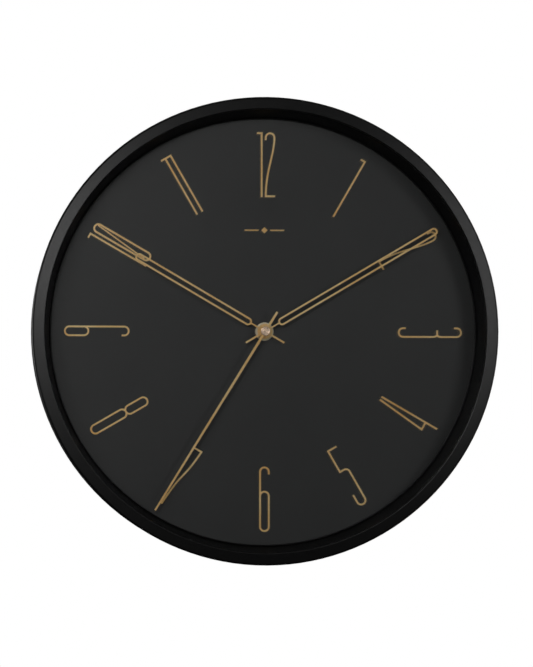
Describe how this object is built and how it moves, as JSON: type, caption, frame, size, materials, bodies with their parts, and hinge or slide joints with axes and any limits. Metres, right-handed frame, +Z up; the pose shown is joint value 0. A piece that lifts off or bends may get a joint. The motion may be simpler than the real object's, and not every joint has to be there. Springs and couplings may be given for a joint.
{
  "type": "wall clock",
  "caption": "Round wall clock with a slim black drum case, charcoal dial, thin gold outline numerals, open loop hands and a geared battery movement behind the dial.",
  "frame": {"origin": "on the hands' axis, in the plane of the wall that the case's rear hem lies on", "axes": "+Z up towards twelve, +X to the right of the dial seen from the front, -Y out of the wall towards the viewer"},
  "size_m": [0.35, 0.048, 0.35],
  "materials": {
    "black_steel": "matte black powder coat",
    "clear_glass": "clear",
    "black_plastic": "fine matte",
    "charcoal_paint": "flat charcoal lacquer",
    "gold_brass": "satin gold",
    "pale_brass": "bright turned",
    "brown_board": "smooth hardboard",
    "spring_steel": "drawn",
    "zinc_steel": "zinc plated",
    "black_rubber": "matte",
    "movement_plastic": "moulded, lightly textured",
    "bridge_aluminium": "stamped",
    "green_laminate": "solder mask",
    "crystal_can": "bright can",
    "copper_winding": "enamelled copper",
    "motor_iron": "stamped iron",
    "contact_brass": "stamped",
    "battery_sleeve": "printed sleeve without lettering",
    "magnet": "ground",
    "white_plastic": "moulded acetal"
  },
  "bodies": {
    "clock_case": {"case_ring": "black_steel", "glass_lens": "clear_glass", "spacer_ring": "black_plastic", "dial_plate": "charcoal_paint", "dial_ornament": "gold_brass", "numeral_1": "gold_brass", "numeral_2": "gold_brass", "numeral_3": "gold_brass", "numeral_4": "gold_brass", "numeral_5": "gold_brass", "numeral_6": "gold_brass", "numeral_7": "gold_brass", "numeral_8": "gold_brass", "numeral_9": "gold_brass", "numeral_10": "gold_brass", "numeral_11": "gold_brass", "numeral_12": "gold_brass", "backing_board": "brown_board", "retaining_wire": "spring_steel", "hanger_plate": "zinc_steel", "hanger_screws": "zinc_steel", "gasket": "black_rubber", "dial_washer": "pale_brass", "bush_nut": "pale_brass", "movement_shell": "movement_plastic", "movement_cover": "movement_plastic", "train_bridge": "bridge_aluminium", "circuit_board": "green_laminate", "quartz_crystal": "crystal_can", "coil": "copper_winding", "coil_core": "motor_iron", "stator": "motor_iron", "contact_plus": "contact_brass", "contact_minus": "contact_brass", "battery": "battery_sleeve"},
    "rotor": {"rotor": "magnet"},
    "intermediate": {"intermediate_wheel": "white_plastic"},
    "seconds": {"seconds_wheel": "white_plastic", "second_hand": "gold_brass", "second_cap": "gold_brass"},
    "third": {"third_wheel": "white_plastic"},
    "centre": {"centre_wheel": "contact_brass"},
    "minutes": {"cannon_pinion": "pale_brass", "minute_hand": "gold_brass"},
    "setting": {"minute_wheel": "white_plastic", "setting_knob": "movement_plastic"},
    "hours": {"hour_wheel": "white_plastic", "hour_hand": "gold_brass"}
  },
  "joints": [
    {"name": "second_hand_turn", "type": "hinge", "parent": "clock_case", "child": "seconds", "pos_m": [0, 0, 0], "axis": [0, 1, 0], "continuous": true},
    {"name": "rotor_turn", "type": "hinge", "parent": "clock_case", "child": "rotor", "pos_m": [0.01345, 0, 0.01031], "axis": [0, 1, 0], "continuous": true},
    {"name": "intermediate_turn", "type": "hinge", "parent": "clock_case", "child": "intermediate", "pos_m": [0.00595, 0, 0.01031], "axis": [0, 1, 0], "continuous": true},
    {"name": "third_turn", "type": "hinge", "parent": "clock_case", "child": "third", "pos_m": [-0.0106, 0, 0.00612], "axis": [0, 1, 0], "continuous": true},
    {"name": "centre_turn", "type": "hinge", "parent": "clock_case", "child": "centre", "pos_m": [0, 0, 0], "axis": [0, 1, 0], "continuous": true},
    {"name": "minute_hand_turn", "type": "hinge", "parent": "clock_case", "child": "minutes", "pos_m": [0, 0, 0], "axis": [0, 1, 0], "continuous": true},
    {"name": "setting_turn", "type": "hinge", "parent": "clock_case", "child": "setting", "pos_m": [0.012, 0, 0], "axis": [0, 1, 0], "continuous": true},
    {"name": "hour_hand_turn", "type": "hinge", "parent": "clock_case", "child": "hours", "pos_m": [0, 0, 0], "axis": [0, 1, 0], "continuous": true}
  ],
  "couplings": [
    {"joint": "rotor_turn", "follows": "second_hand_turn", "ratio": 30},
    {"joint": "intermediate_turn", "follows": "second_hand_turn", "ratio": -6},
    {"joint": "third_turn", "follows": "second_hand_turn", "ratio": -0.13333},
    {"joint": "centre_turn", "follows": "second_hand_turn", "ratio": 0.016667},
    {"joint": "setting_turn", "follows": "minute_hand_turn", "ratio": -0.33333},
    {"joint": "hour_hand_turn", "follows": "minute_hand_turn", "ratio": 0.083333}
  ]
}
